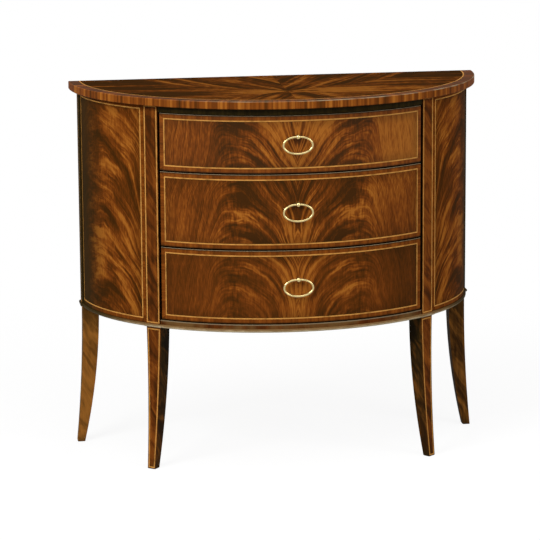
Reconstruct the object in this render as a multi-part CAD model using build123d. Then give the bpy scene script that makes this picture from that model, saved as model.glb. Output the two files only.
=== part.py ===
from build123d import *
import os
from math import asin, atan2, cos, degrees, pi, radians, sin, sqrt

os.makedirs("parts", exist_ok=True)

# Overall sizes, in millimetres
top_width = 1016.0
top_depth = 435.0
overall_height = 914.0
leg_height = 352.0
overrun = 5.0

# Top, with its cross-grained border and the line let in beside it
top_thickness = 19.0
top_overhang = 22.0
top_border_width = 26.0
top_arris = 2.0

# Posts, each running down into a sabre leg
post_angle = 39.2
post_size = 40.0
post_proud = 2.0
foot_splay = 19.0
foot_width = 21.5
foot_depth = 18.5
foot_chamfer = 1.5

# Bowed case
panel_thickness = 18.0
rail_thickness = 22.0
top_rail_height = 16.5
bottom_rail_height = 19.5
divider_thickness = 18.0
divider_depth = 50.0
bottom_board_thickness = 16.0
back_panel_thickness = 10.0
back_rebate = 10.0
housing_depth = 6.0

# Half-round bead round the foot of the case
bead_height = 8.0
bead_projection = 4.5
bead_round = 3.6

# Light lines let into the veneer
line_width = 3.0
line_depth = 1.5
post_line_inset = 2.0
leg_line_top_inset = 4.5
leg_line_foot_inset = 3.0
panel_line_inset = 10.0
front_line_inset = 11.0

# Drawer fronts, named from the top, and the spaces round them
drawer_names = ("top", "middle", "bottom")
front_height_shares = (0.278, 0.364, 0.358)
front_gap = 3.0
front_reveal = 2.0
front_side_gap = 4.0
front_thickness = 22.0
front_arris = 1.0

# Drawer boxes
side_thickness = 12.0
side_clearance = 5.0
box_run_gap = 0.3
box_top_gap = 6.0
back_thickness = 12.0
back_drop = 4.0
base_thickness = 6.0
base_rise = 10.0
groove_depth = 6.0
divider_gap = 1.5
tail_pitch = 40.0
tail_share = 0.7
tail_slope_share = 0.14

# Runners, guides, stops and kickers inside the case
runner_width = 30.0
guide_gap = 0.5
guide_width = 20.0
guide_height = 25.0
dust_thickness = 6.0
stop_length = 24.0
stop_width = 20.0
stop_height = 14.0
stop_gap = 0.3
kicker_gap = 1.0

# Ring pulls
ball_radius = 6.0
ball_rise = 19.0
ball_standoff = 9.0
neck_radius = 3.0
collar_radius = 5.5
collar_thickness = 1.5
stud_radius = 2.0
wire_radius = 2.6
wire_clearance = 0.05
ring_width = 75.0
ring_height = 45.5
ring_straight = 11.0
washer_radius = 5.0
washer_thickness = 1.2
washer_seat = 0.4
nut_across_flats = 7.0
nut_thickness = 3.2
stud_end = 2.0

# Screws, all of one gauge
screw_radius = 2.0
screw_head_radius = 4.0
screw_head_height = 2.6
screw_slot = 0.9
back_screw_length = 26.0
back_screw_rows = 4
back_screw_columns = 5
top_screw_length = 30.0
top_screw_sink = 6.0
top_screws_per_kicker = 3
top_screw_ends = 30.0

# Levels and half sizes worked out from the values above
case_half_width = top_width / 2 - top_overhang
case_depth = top_depth - top_overhang
case_top = overall_height - top_thickness
post_half = post_size / 2
bead_top = leg_height + bead_height
rail_top = leg_height + bottom_rail_height
fronts_low = rail_top + front_reveal
fronts_high = case_top - top_rail_height - front_reveal
fronts_total = fronts_high - fronts_low - front_gap * (len(drawer_names) - 1)
divider_inset = front_thickness + divider_gap
runner_inset = divider_inset + divider_depth
box_back = back_panel_thickness + stop_length + stop_gap
tolerance_share = 1e-6


def bow_radii(inset):
    """Half-width and depth of the case's bow, drawn in by an inset."""
    return case_half_width - inset, case_depth - inset


def block(x0, x1, y0, y1, z0, z1):
    """A box between two opposite corners."""
    middle = Pos((x0 + x1) / 2, (y0 + y1) / 2, (z0 + z1) / 2)
    return middle * Box(x1 - x0, y1 - y0, z1 - z0)


def rod_y(radius, y0, y1, x, z):
    """A round rod along Y."""
    return Pos(x, (y0 + y1) / 2, z) * Rot(90, 0, 0) * Cylinder(radius, abs(y1 - y0))


def half_bow(inset, z0, z1):
    """Everything inside the bow at an inset, from the back plane forwards."""
    a, b = bow_radii(inset)
    arc = EllipticalCenterArc((0, 0), a, b, start_angle=180, arc_size=180)
    outline = make_face([arc, Line((a, 0), (-a, 0))])
    return Pos(0, 0, z0) * extrude(outline, z1 - z0, dir=(0, 0, 1))


def half_bow_depth(inset, x):
    """How far the bow at an inset reaches forward of the back plane at a given x."""
    a, b = bow_radii(inset)
    return b * sqrt(1 - (x / a) ** 2)


def is_level(edge):
    """Whether an edge sets off level."""
    return abs(edge.tangent_at(0).Z) < tolerance_share


def on_bow(edge, inset):
    """Whether an edge lies on the bow at an inset."""
    a, b = bow_radii(inset)
    points = (edge @ 0, edge @ 0.5, edge @ 1)
    return all(abs((point.X / a) ** 2 + (point.Y / b) ** 2 - 1) < tolerance_share for point in points)


def post_directions(side):
    """Unit vectors of a front post: the way it faces, and along its face away from the middle."""
    angle = radians(post_angle)
    return (side * sin(angle), -cos(angle)), (side * cos(angle), sin(angle))


def post_point(side):
    """The point of the bow that faces the same way as the front post on that side."""
    a, b = bow_radii(0)
    angle = radians(post_angle)
    reach = sqrt((a * sin(angle)) ** 2 + (b * cos(angle)) ** 2)
    return side * a * a * sin(angle) / reach, -b * b * cos(angle) / reach


def flank(side, offset):
    """A plan line square to a front post's face, offset along that face from its middle."""
    facing, along = post_directions(side)
    x, y = post_point(side)
    start = (x + along[0] * offset + facing[0] * post_size, y + along[1] * offset + facing[1] * post_size)
    return start, (-facing[0], -facing[1])


def rear_line(offset):
    """A plan line across the right side of the case, a distance in front of the back plane."""
    return (top_width, -offset), (-1, 0)


def meet(line, inset):
    """Where a plan line, coming in from outside, first meets the bow at an inset."""
    (x, y), (dx, dy) = line
    a, b = bow_radii(inset)
    square = (dx / a) ** 2 + (dy / b) ** 2
    linear = 2 * (x * dx / a ** 2 + y * dy / b ** 2)
    level = (x / a) ** 2 + (y / b) ** 2 - 1
    step = (-linear - sqrt(linear * linear - 4 * square * level)) / (2 * square)
    return x + step * dx, y + step * dy


def bow_arc(inset, start, end):
    """The stretch of the bow at an inset from one plan point to another, left to right."""
    a, b = bow_radii(inset)
    first = degrees(atan2(start[1] / b, start[0] / a))
    last = degrees(atan2(end[1] / b, end[0] / a))
    return EllipticalCenterArc((0, 0), a, b, start_angle=first, arc_size=last - first)


def bowed(inset, depth, left, right, z0, z1):
    """A curved slab that follows the bow between two plan lines and two heights."""
    outer_left, outer_right = meet(left, inset), meet(right, inset)
    inner_left, inner_right = meet(left, inset + depth), meet(right, inset + depth)
    outline = [
        bow_arc(inset, outer_left, outer_right),
        Line(outer_right, inner_right),
        bow_arc(inset + depth, inner_left, inner_right),
        Line(inner_left, outer_left),
    ]
    return Pos(0, 0, z0) * extrude(make_face(outline), z1 - z0, dir=(0, 0, 1))


def front_lines(offset):
    """The two plan lines that bound the front between the posts, drawn in by an offset."""
    return flank(-1, -post_half - offset), flank(1, -post_half - offset)


def bowed_front(inset, depth, offset, z0, z1):
    """A curved slab across the front, between the posts."""
    left, right = front_lines(offset)
    return bowed(inset, depth, left, right, z0, z1)


def bowed_side(inset, depth, offset, z0, z1):
    """A curved slab round the right side, between its front post and its rear post."""
    return bowed(inset, depth, flank(1, post_half + offset), rear_line(post_size + offset), z0, z1)


def line_frame(slab, offset, z0, z1):
    """A frame of light line, flush in a curved face, its outer edge at the offset and heights."""
    outside = slab(0, line_depth, offset, z0, z1)
    hole = slab(-overrun, line_depth + 2 * overrun, offset + line_width, z0 + line_width, z1 - line_width)
    return outside - hole


def mirrored(shape):
    """The same piece on the other side of the case."""
    return mirror(shape, about=Plane.YZ)


def place_post(name, shape):
    """Move a piece drawn on a post that faces -Y at the origin to one of the four corners."""
    side = -1 if "left" in name else 1
    if "front" in name:
        x, y = post_point(side)
        return Pos(x, y, 0) * Rot(0, 0, side * post_angle) * shape
    return Pos(side * case_half_width, -post_half, 0) * Rot(0, 0, side * 90) * shape


def save(name, shape):
    """Write one piece, or a group of like pieces, with the origin under the middle of the whole."""
    solids = list(shape.solids())
    moved = [Pos(0, top_depth / 2, 0) * solid for solid in solids]
    export_step(moved[0] if len(moved) == 1 else Compound(children=moved), f"parts/{name}.step")


# Top
def top_slab(inset, z0, z1):
    """The half-ellipse of the top, drawn in by an inset from its edge."""
    return half_bow(inset - top_overhang, z0, z1)


def make_top(screw_holes):
    """Board, border round its curved edge, and the line let in between them."""
    line_low = overall_height - line_depth
    field = top_slab(top_border_width, case_top, overall_height)
    border = top_slab(0, case_top, overall_height) - field
    rim = [edge for edge in border.edges() if on_bow(edge, -top_overhang) and is_level(edge)]
    border = fillet(rim, top_arris)
    line = top_slab(top_border_width, line_low, overall_height)
    line -= top_slab(top_border_width + line_width, line_low - overrun, overall_height + overrun)
    save("top_board", field - line - screw_holes)
    save("top_border", border)
    save("top_stringing", line)


# Posts and legs
def sabre_leg():
    """Leg below the case, facing -Y: it sweeps outwards and tapers on all four sides."""
    foot_back = foot_depth - foot_splay
    knee = leg_height / 2
    side_outline = [
        Bezier((0, 0, leg_height), (0, 0, knee), (0, -foot_splay, 0)),
        Line((0, -foot_splay, 0), (0, foot_back, 0)),
        Bezier((0, foot_back, 0), (0, post_size, knee), (0, post_size, leg_height)),
        Line((0, post_size, leg_height), (0, 0, leg_height)),
    ]
    front_outline = Polyline(
        (-foot_width / 2, 0, 0),
        (foot_width / 2, 0, 0),
        (post_half, 0, leg_height),
        (-post_half, 0, leg_height),
        close=True,
    )
    side = extrude(make_face(side_outline), post_size, both=True)
    front = extrude(make_face(front_outline), post_size + foot_splay, both=True)
    return side & front


def post_line():
    """Frame of light line on the face of a post."""
    half = post_half - post_line_inset
    low, high = bead_top + post_line_inset, case_top - post_line_inset
    outside = block(-half, half, -post_proud, line_depth - post_proud, low, high)
    return outside - block(
        line_width - half,
        half - line_width,
        -post_proud - overrun,
        line_depth - post_proud + overrun,
        low + line_width,
        high - line_width,
    )


def leg_line(leg):
    """Frame of light line on the outer face of a leg, tapering with it."""
    skin = leg - Pos(0, line_depth, 0) * leg
    low, high = leg_line_foot_inset, leg_height - leg_line_top_inset

    def tapered(inset, z0, z1):
        """A plug with the leg's own taper, drawn in from its edges."""
        corners = []
        for z in (z0, z1):
            half = (foot_width + (post_size - foot_width) * z / leg_height) / 2 - inset
            corners.append((half, z))
        (low_half, z_low), (high_half, z_high) = corners
        outline = Polyline(
            (-low_half, 0, z_low), (low_half, 0, z_low), (high_half, 0, z_high), (-high_half, 0, z_high), close=True
        )
        return extrude(make_face(outline), post_size, both=True)

    ring = tapered(post_line_inset, low, high)
    ring -= tapered(post_line_inset + line_width, low + line_width, high - line_width)
    return skin & ring


def make_legs(back_panel, screws):
    """Four posts with their legs, and the two sets of line frames on them."""
    leg = sabre_leg()
    on_leg, on_post = leg_line(leg), post_line()
    foot_edges = leg.faces().sort_by(Axis.Z)[0].edges()
    post = block(-post_half, post_half, -post_proud, post_size, leg_height, case_top)
    whole = chamfer(foot_edges, foot_chamfer) + post - on_leg - on_post
    names = ("front_left_leg", "front_right_leg", "rear_left_leg", "rear_right_leg")
    for name in names:
        piece = place_post(name, whole)
        if "rear" in name:
            piece = piece - back_panel - screws
        save(name, piece)
    save("leg_stringing", Compound(children=[place_post(name, on_leg) for name in names]))
    save("post_stringing", Compound(children=[place_post(name, on_post) for name in names]))


# Bowed sides and rails
def make_sides(bottom_board):
    """Curved panel each side, housed for the bottom board, with its frame of light line."""
    line = line_frame(bowed_side, panel_line_inset, bead_top + panel_line_inset, case_top - panel_line_inset)
    panel = bowed_side(0, panel_thickness, 0, leg_height, case_top) - line - bottom_board
    save("right_side_panel", panel)
    save("left_side_panel", mirrored(panel))
    save("right_panel_stringing", line)
    save("left_panel_stringing", mirrored(line))


def make_rails(bottom_board):
    """Rails across the front, over and under the drawers."""
    save("top_rail", bowed_front(0, rail_thickness, 0, case_top - top_rail_height, case_top))
    save("bottom_rail", bowed_front(0, rail_thickness, 0, leg_height, rail_top) - bottom_board)


def post_boxes(grow, z0, z1):
    """The plan of the four posts, grown outwards, between two heights."""
    half = post_half + grow
    box = block(-half, half, -post_proud - grow, post_size, z0, z1)
    return [place_post(name, box) for name in ("front_left", "front_right", "rear_left", "rear_right")]


def bead_pad():
    """The bead where it breaks forward round a post, rounded over and hipped at both ends."""
    half = post_half + bead_projection
    front = -post_proud - bead_projection
    body = block(-half, half, front, post_size, leg_height, bead_top)
    along = body.edges().filter_by(Axis.X).filter_by(lambda edge: edge.center().Y < -post_proud)
    across = body.edges().filter_by(Axis.Y)
    return fillet(along, bead_round) & fillet(across, bead_round)


def make_bead():
    """Half-round bead in one run round the case, breaking forward over each post."""
    ring = half_bow(-bead_projection, leg_height, bead_top)
    rim = [edge for edge in ring.edges() if on_bow(edge, -bead_projection) and is_level(edge)]
    bead = fillet(rim, bead_round)
    pad = bead_pad()
    for name in ("front_left", "front_right", "rear_left", "rear_right"):
        bead += place_post(name, pad)
    bead -= half_bow(0, leg_height - overrun, bead_top + overrun)
    for box in post_boxes(0, leg_height - overrun, bead_top + overrun):
        bead -= box
    reach = top_width
    bead -= block(-reach, reach, 0, reach, leg_height - overrun, bead_top + overrun)
    save("base_bead", bead)


# Boards inside the case
def make_bottom_board():
    """Half-ellipse board, housed into the sides and the bottom rail and notched round the posts."""
    board = half_bow(panel_thickness - housing_depth, rail_top - bottom_board_thickness, rail_top)
    board -= block(-top_width, top_width, -back_panel_thickness, overrun, leg_height, rail_top + overrun)
    for box in post_boxes(0, leg_height, rail_top + overrun):
        board -= box
    return board


def make_back_panel():
    """Flat panel let into rebates in the two rear posts."""
    half = case_half_width - post_size + back_rebate
    return block(-half, half, -back_panel_thickness, 0, leg_height, case_top)


def front_levels():
    """Lowest and highest level of each drawer front, named from the top."""
    levels = {}
    high = fronts_high
    for name, share in zip(drawer_names, front_height_shares):
        low = high - share / sum(front_height_shares) * fronts_total
        levels[name] = (low, high)
        high = low - front_gap
    return levels


def divider_levels():
    """Lowest and highest level of each divider, behind the gap between two fronts."""
    levels = front_levels()
    gaps = [levels[name][0] - front_gap / 2 for name in drawer_names[:-1]]
    return [(gap - divider_thickness / 2, gap + divider_thickness / 2) for gap in gaps]


def run_levels():
    """Height of the surface that each drawer runs on."""
    return dict(zip(drawer_names, [high for low, high in divider_levels()] + [rail_top]))


def ceiling_levels():
    """Height of what lies over each drawer."""
    return dict(zip(drawer_names, [case_top - top_rail_height] + [low for low, high in divider_levels()]))


def box_half_width():
    """Half-width of the drawer boxes, which pass between the inner corners of the front posts."""
    facing, along = post_directions(1)
    corner = post_point(1)[0] - along[0] * post_half - facing[0] * post_size
    return corner - side_clearance


def both_sides(shape):
    """A piece and its mirror image."""
    return [shape, mirrored(shape)]


def make_dividers():
    """Between two drawers: a bowed divider, a runner each side, and a dust board in their grooves."""
    half = box_half_width()
    inner, outer = half - runner_width, half + guide_gap + guide_width
    for name, (low, high) in zip(("upper", "lower"), divider_levels()):
        middle = (low + high) / 2
        dust_low, dust_high = middle - dust_thickness / 2, middle + dust_thickness / 2
        edge = inner + housing_depth
        dust = block(-edge, edge, -case_depth, -back_panel_thickness, dust_low, dust_high)
        dust &= half_bow(runner_inset - housing_depth, dust_low, dust_high)
        runner = block(inner, outer, -case_depth, -back_panel_thickness, low, high)
        runner &= half_bow(runner_inset, low, high)
        save(f"{name}_divider", bowed_front(divider_inset, divider_depth, 0, low, high) - dust)
        save(f"{name}_runners", Compound(children=[piece - dust for piece in both_sides(runner)]))
        save(f"{name}_dust_board", dust)


def make_guides():
    """Strips outside the drawer boxes that keep them straight."""
    half = box_half_width() + guide_gap
    pieces = []
    for low in run_levels().values():
        guide = block(half, half + guide_width, -case_depth, -back_panel_thickness, low, low + guide_height)
        pieces += both_sides(guide & half_bow(runner_inset, low, low + guide_height))
    save("drawer_guides", Compound(children=pieces))


def make_stops():
    """Blocks behind the drawer boxes that bring the fronts home flush."""
    outer = box_half_width()
    pieces = []
    for low in run_levels().values():
        near = -back_panel_thickness - stop_length
        stop = block(outer - stop_width, outer, near, -back_panel_thickness, low, low + stop_height)
        pieces += both_sides(stop)
    save("drawer_stops", Compound(children=pieces))


def make_kickers():
    """Strips under the top that keep the top drawer level, with the screws that hold the top."""
    half = box_half_width()
    low = box_top("top") + kicker_gap
    kicker = block(half - runner_width, half, -case_depth, -back_panel_thickness, low, case_top)
    kicker &= half_bow(rail_thickness, low, case_top)
    x = half - runner_width / 2
    front = -half_bow_depth(rail_thickness, x) + top_screw_ends
    rear = -back_panel_thickness - top_screw_ends
    screws, holes = [], []
    for index in range(top_screws_per_kicker):
        y = front + (rear - front) * index / (top_screws_per_kicker - 1)
        at = Pos(x, y, low + top_screw_sink) * Rot(180, 0, 0)
        screws.append(at * screw(top_screw_length))
        holes.append(at * screw_blank(top_screw_length))
        holes.append(Pos(x, y, low + top_screw_sink / 2) * Cylinder(screw_head_radius, top_screw_sink))
    for hole in holes:
        kicker -= hole
    save("kickers", Compound(children=both_sides(kicker)))
    save("top_screws", Compound(children=screws + [mirrored(piece) for piece in screws]))
    return holes + [mirrored(hole) for hole in holes]


# Screws
def screw_blank(length):
    """Countersunk screw pointing down from the origin, without its slot."""
    head = Pos(0, 0, -screw_head_height / 2) * Cone(screw_radius, screw_head_radius, screw_head_height)
    return head + Pos(0, 0, -length / 2) * Cylinder(screw_radius, length)


def screw(length):
    """Countersunk screw with a slot across its head."""
    slot = Box(2 * screw_head_radius + overrun, screw_slot, 2 * screw_slot)
    return screw_blank(length) - slot


def back_screw_places():
    """Screw places round the back panel: down both rear posts and along the bottom board."""
    x = case_half_width - post_size + back_rebate / 2
    low, high = rail_top - bottom_board_thickness / 2, case_top - post_size
    places = []
    for index in range(back_screw_rows):
        z = rail_top + post_size + (high - rail_top - post_size) * index / (back_screw_rows - 1)
        places += [(-x, z), (x, z)]
    for index in range(back_screw_columns):
        places.append((x * (2 * (index + 1) / (back_screw_columns + 1) - 1), low))
    return places


def back_screws(maker):
    """All the screws of the back panel, pointing forwards from its rear face."""
    return [Pos(x, 0, z) * Rot(-90, 0, 0) * maker(back_screw_length) for x, z in back_screw_places()]


# Drawers
def box_bottom(name):
    """Level of the lower edge of a drawer's sides."""
    return run_levels()[name] + box_run_gap


def box_top(name):
    """Level of the upper edge of a drawer's sides."""
    return min(front_levels()[name][1], ceiling_levels()[name]) - box_top_gap


def tails(x0, x1, z0, z1):
    """Dovetails at the rear end of a drawer side, wider at their end than at their root."""
    count = max(2, round((z1 - z0) / tail_pitch))
    pitch = (z1 - z0) / count
    flare = back_thickness * tail_slope_share
    half = pitch * tail_share / 2
    pieces = []
    for index in range(count):
        middle = z0 + pitch * (index + 0.5)
        outline = Polyline(
            (x0, -box_back - back_thickness, middle - half + flare),
            (x0, -box_back, middle - half),
            (x0, -box_back, middle + half),
            (x0, -box_back - back_thickness, middle + half - flare),
            close=True,
        )
        pieces.append(extrude(make_face(outline), x1 - x0, dir=(1, 0, 0)))
    return pieces


def drawer_side(name):
    """Right side of a drawer, housed into the front and dovetailed at the back."""
    half = box_half_width()
    inner = half - side_thickness
    low, high = box_bottom(name), box_top(name)
    side = block(inner, half, -case_depth, -box_back, low, high)
    side &= half_bow(front_thickness - housing_depth, low, high)
    joint_low, joint_high = low + base_rise + base_thickness, high - back_drop
    pins = block(inner, half, -box_back - back_thickness, -box_back, joint_low, joint_high)
    joint = tails(inner, half, joint_low, joint_high)
    for tail in joint:
        pins -= tail
    return side - pins, joint


def drawer_base(name):
    """Thin board in the grooves of the sides and the front, under the back."""
    reach = box_half_width() - side_thickness + groove_depth
    low = box_bottom(name) + base_rise
    base = block(-reach, reach, -case_depth, -box_back, low, low + base_thickness)
    return base & half_bow(front_thickness - groove_depth, low, low + base_thickness)


def drawer_back(name, joint):
    """Back of a drawer, cut for the tails of both sides."""
    half = box_half_width()
    low = box_bottom(name) + base_rise + base_thickness
    back = block(-half, half, -box_back - back_thickness, -box_back, low, box_top(name) - back_drop)
    for tail in joint:
        back = back - tail - mirrored(tail)
    return back


def drawer_front(name):
    """Bowed front with an eased edge."""
    low, high = front_levels()[name]
    front = bowed_front(0, front_thickness, front_side_gap, low, high)
    return fillet([edge for edge in front.edges() if on_bow(edge, 0)], front_arris)


def pull_level(name):
    """Height of a ring pull's ball."""
    low, high = front_levels()[name]
    return (low + high) / 2 + ball_rise


def pierced(front, holes, z):
    """A front with its pull's holes, cut in a small piece of it that is then set back."""
    half = washer_radius + overrun
    window = block(-half, half, -case_depth - overrun, 0, z - half, z + half)
    plug = front & window
    for hole in holes:
        plug -= hole
    return (front - window) + plug


def pull_post(z):
    """Brass ball, pierced across for the ring, on a neck with a collar and a threaded stud."""
    face = -case_depth
    centre = face - ball_standoff
    throat = centre + sqrt(ball_radius ** 2 - neck_radius ** 2)
    shoulder = face - collar_thickness
    end = face + front_thickness - washer_seat + washer_thickness + nut_thickness + stud_end
    halfway = (pi + asin(neck_radius / ball_radius)) / 2
    outline = [
        ThreePointArc(
            (0, centre - ball_radius, z),
            (0, centre + ball_radius * cos(halfway), z + ball_radius * sin(halfway)),
            (0, throat, z + neck_radius),
        ),
        Polyline(
            (0, throat, z + neck_radius),
            (0, shoulder, z + neck_radius),
            (0, shoulder, z + collar_radius),
            (0, face, z + collar_radius),
            (0, face, z + stud_radius),
            (0, end, z + stud_radius),
            (0, end, z),
            (0, centre - ball_radius, z),
        ),
    ]
    post = revolve(make_face(outline), Axis((0, 0, z), (0, 1, 0)))
    bore = Pos(0, centre, z) * Rot(0, 90, 0) * Cylinder(wire_radius + wire_clearance, 2 * ball_radius + overrun)
    return post - bore


def pull_nut(z):
    """Washer and nut on the stud, behind the front."""
    seat = front_thickness - case_depth - washer_seat
    hole = rod_y(stud_radius, seat - overrun, seat + washer_thickness + nut_thickness + overrun, 0, z)
    washer = rod_y(washer_radius, seat, seat + washer_thickness, 0, z)
    hexagon = RegularPolygon(nut_across_flats / 2, 6, major_radius=False)
    nut = Pos(0, seat + washer_thickness, z) * Rot(-90, 0, 0) * extrude(hexagon, nut_thickness)
    return washer - hole, nut - hole, washer


def pull_ring(z):
    """Oval wire ring, straight where it passes through the ball and oval below."""
    straight_half = ring_straight / 2
    half_width, half_height = ring_width / 2 - wire_radius, ring_height / 2 - wire_radius
    middle = z - half_height
    short = half_width - straight_half
    path = Wire(
        [
            Line((-straight_half, z), (straight_half, z)),
            EllipticalCenterArc((straight_half, middle), short, half_height, start_angle=90, arc_size=-90),
            EllipticalCenterArc((0, middle), half_width, half_height, start_angle=0, arc_size=-180),
            EllipticalCenterArc((-straight_half, middle), short, half_height, start_angle=180, arc_size=-90),
        ]
    )
    plan = Plane(origin=(0, -case_depth - ball_standoff, 0), x_dir=(1, 0, 0), z_dir=(0, -1, 0))
    path = plan * path
    section = Plane(origin=path @ 0, z_dir=path % 0) * Circle(wire_radius)
    return sweep(section, path)


def make_drawer(name):
    """One drawer with its front, box, line and ring pull."""
    low, high = front_levels()[name]
    line = line_frame(bowed_front, front_side_gap + front_line_inset, low + front_line_inset, high - front_line_inset)
    side, joint = drawer_side(name)
    base = drawer_base(name)
    z = pull_level(name)
    washer, nut, seat = pull_nut(z)
    stud = rod_y(stud_radius, -case_depth - overrun, front_thickness - case_depth + overrun, 0, z)
    front = drawer_front(name) - line - side - mirrored(side) - base
    save(f"{name}_drawer_front", pierced(front, (stud, seat), z))
    save(f"{name}_drawer_stringing", line)
    save(f"{name}_drawer_right_side", side - base)
    save(f"{name}_drawer_left_side", mirrored(side - base))
    save(f"{name}_drawer_back", drawer_back(name, joint))
    save(f"{name}_drawer_base", base)
    save(f"{name}_pull_post", pull_post(z))
    save(f"{name}_pull_nut", Compound(children=[washer, nut]))
    save(f"{name}_pull_ring", pull_ring(z))


def make_case():
    """Everything that stands still."""
    make_top(make_kickers())
    bottom_board = make_bottom_board()
    back_panel = make_back_panel()
    blanks = Compound(children=back_screws(screw_blank))
    make_legs(back_panel, blanks)
    make_sides(bottom_board)
    make_rails(bottom_board)
    make_bead()
    make_dividers()
    make_guides()
    make_stops()
    save("bottom_board", bottom_board - blanks)
    save("back_panel", back_panel - blanks)
    save("back_screws", Compound(children=back_screws(screw)))


make_case()
for drawer in drawer_names:
    make_drawer(drawer)
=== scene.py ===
"""Finishes, studio and camera for a half-round veneered chest of drawers."""

import math
from functools import partial

import bpy
from bpy.props import FloatProperty, FloatVectorProperty, PointerProperty
from mathutils import Matrix, Vector


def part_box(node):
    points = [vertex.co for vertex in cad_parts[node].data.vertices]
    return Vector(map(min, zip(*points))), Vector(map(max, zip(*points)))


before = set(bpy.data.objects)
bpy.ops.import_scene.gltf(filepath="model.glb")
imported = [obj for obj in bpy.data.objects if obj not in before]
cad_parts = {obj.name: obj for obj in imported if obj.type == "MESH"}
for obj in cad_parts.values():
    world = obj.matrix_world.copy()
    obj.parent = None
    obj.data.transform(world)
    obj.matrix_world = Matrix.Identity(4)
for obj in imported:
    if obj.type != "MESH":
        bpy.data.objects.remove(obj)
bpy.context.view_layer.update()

bl_info = {
    "name": "Half-round chest finishes",
    "version": (1, 0, 0),
    "blender": (4, 5, 0),
    "location": "3D View > Sidebar > Chest",
    "description": "Veneers, solid woods, lines and brass for a half-round chest, with its studio",
    "category": "Material",
}

DRAWERS = ("top", "middle", "bottom")
SIDES = ("left", "right")

MM = 0.001

# Plan of the case and of its top, as half-ellipses about the middle of the back
CASE_HALF_WIDTH = 0.486
CASE_DEPTH = 0.413
CASE_PLAN = {"Half width": CASE_HALF_WIDTH, "Depth": CASE_DEPTH}
TOP_DEPTH = 0.435
TOP_PLAN = {"Half width": 0.508, "Depth": TOP_DEPTH}
BACK_PLANE = TOP_DEPTH / 2
# A way round the bow is its turn times this mean radius; a side panel begins that far from the middle
BOW_RADIUS = (CASE_HALF_WIDTH + CASE_DEPTH) / 2
PANEL_START = 0.365
# Turn of a front post from the middle, and height of the legs
POST_TURN = math.radians(39.2)
LEG_HEIGHT = 0.352
# Light line, the cross-banding outside it, the dark rim of that (painted shade by the gap), and the darkened
# border inside it
LINE_WIDTH = 3 * MM
FRONT_MARGIN = 11 * MM
RIM_WIDTH = 5 * MM
BORDER_WIDTH = 26 * MM

# Painted light: how much lighter each front is at its left end, at its middle and at its right end
FRONT_PAINTED_LIGHT = {"top": (0.05, -0.01, 0.31), "middle": (0.02, 0.01, 0.08), "bottom": (-0.02, 0.06, -0.16)}
# How strong the figure is in each front, and how much polish lies on it
FRONT_STRENGTH = {"top": 1.0, "middle": 1.0, "bottom": 0.75}
FRONT_FILM = {"top": 0.14, "middle": 0.08, "bottom": 0.06}
# Tones at which the colours of the veneer stand, and those of the posts
VENEER_TONES = (0.16, 0.35, 0.5, 0.65, 0.84)
POST_TONES = (0.2, 0.5, 0.85)
# Figure: how gently the fronds leave the seam, and how wide their crest is before they fall
SEAM_EASE = 0.02
CREST_WIDTH = 0.065
# Angle of each wedge of the top
WEDGE = math.radians(60)

# Where the camera stands, what the lamps point at, and how far out the shadow is full and has gone
CAMERA_PLACE = (-1.05365, -6.92322, 1.94265)
LAMP_AIM = Vector((0, 0, 0.5))
SHADOW_REACH = (0.8, 2.2)

# Inputs of a Mix node: its share, then its pair of numbers and its pair of colours
SHARE, NUMBER_A, NUMBER_B, FROM, TO = 0, 2, 3, 6, 7
EVEN = (0.5, 0.5, 0.5)
SOFT = {"interpolation_type": "SMOOTHSTEP"}
ANGLE = {"subtype": "ANGLE", "unit": "ROTATION"}


def linear(text):
    """An sRGB hex colour as linear red, green and blue."""
    channels = [int(text[i : i + 2], 16) / 255 for i in (1, 3, 5)]
    return tuple(c / 12.92 if c <= 0.04045 else ((c + 0.055) / 1.055) ** 2.4 for c in channels)


def per(*sizes_mm):
    """Pattern scales, in repeats to the metre, of sizes in millimetres."""
    return tuple(1000 / size for size in sizes_mm)


def shades(colour, *shares):
    """A colour made darker or lighter by each share."""
    return [tuple(channel * share for channel in colour) for share in shares]


def add_node(tree, kind, inputs=(), stops=(), **settings):
    """Add a shader node. An input is a value, a socket, or a node, taken by its first enabled output."""
    node = tree.nodes.new("ShaderNode" + kind)
    for name, value in settings.items():
        setattr(node, name, value)
    for name, value in inputs.items() if isinstance(inputs, dict) else enumerate(inputs):
        if isinstance(value, bpy.types.Node):
            value = next(socket for socket in value.outputs if socket.enabled)
        if isinstance(value, bpy.types.NodeSocket):
            tree.links.new(value, node.inputs[name])
        elif node.inputs[name].type == "RGBA":
            node.inputs[name].default_value = (*value[:3], 1.0)
        else:
            node.inputs[name].default_value = value
    while len(stops) > len(node.color_ramp.elements if stops else ()):
        node.color_ramp.elements.new(1.0)
    for number, (place, colour) in enumerate(stops):
        node.color_ramp.elements[number].position = place
        node.color_ramp.elements[number].color = (*colour, 1.0)
    return node


def new_group(name, inputs, outputs):
    """An empty node group, and its two ends. Sockets are named, with the kind of each."""
    tree = bpy.data.node_groups.new(name, "ShaderNodeTree")
    for way, sockets in (("INPUT", inputs), ("OUTPUT", outputs)):
        for socket, kind in sockets.items():
            tree.interface.new_socket(name=socket, in_out=way, socket_type="NodeSocket" + kind)
    return tree, tree.nodes.new("NodeGroupInput").outputs, tree.nodes.new("NodeGroupOutput").inputs


def send(tree, out, **sources):
    """Link nodes to a group's outputs; an underscore in a name stands for a space."""
    for name, source in sources.items():
        socket = source if isinstance(source, bpy.types.NodeSocket) else source.outputs[0]
        tree.links.new(socket, out[name.replace("_", " ")])


def pattern(name):
    """One of the shared patterns, made the first time that it is asked for."""
    return bpy.data.node_groups.get(name) or PATTERNS[name](name)


def new_material(name):
    """A material with an empty tree."""
    material = bpy.data.materials.new(name)
    material.use_nodes = True
    material.node_tree.nodes.clear()
    return material, material.node_tree


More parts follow.
